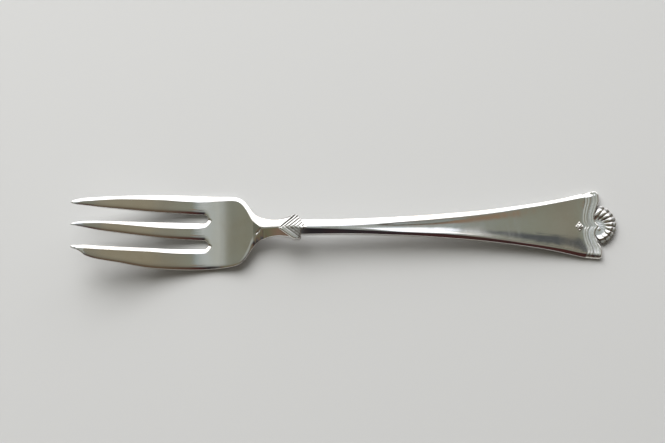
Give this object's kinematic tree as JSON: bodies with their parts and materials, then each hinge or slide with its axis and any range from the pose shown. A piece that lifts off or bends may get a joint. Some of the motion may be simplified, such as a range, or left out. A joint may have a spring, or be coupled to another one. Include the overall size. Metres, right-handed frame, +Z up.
{
  "type": "pastry fork",
  "caption": "Pastry fork with a broad cutting tine, a bevelled head, a chevron collar and a flaring handle that ends in a wave border and a scallop shell.",
  "frame": {"origin": "on the table, at the middle of the length, on the centre line", "axes": "+X from the tines to the shell, +Y from the cutting tine to the plain outer tine, +Z up, with the hollow side of the tines up"},
  "size_m": [0.15, 0.0214, 0.0127],
  "materials": {
    "silver": "polished silver, softened by use, with fine scratches and a faint warm bloom",
    "relief": "struck silver relief, bright on the crests and darker in the grooves"
  },
  "bodies": {
    "root": {"outer_tine": "silver", "middle_tine": "silver", "cutting_tine": "silver", "head": "silver", "shoulder": "silver", "neck": "silver", "collar": "relief", "stem": "silver", "handle": "silver", "floret": "relief", "wave_border": "relief", "shell": "relief"}
  },
  "joints": []
}
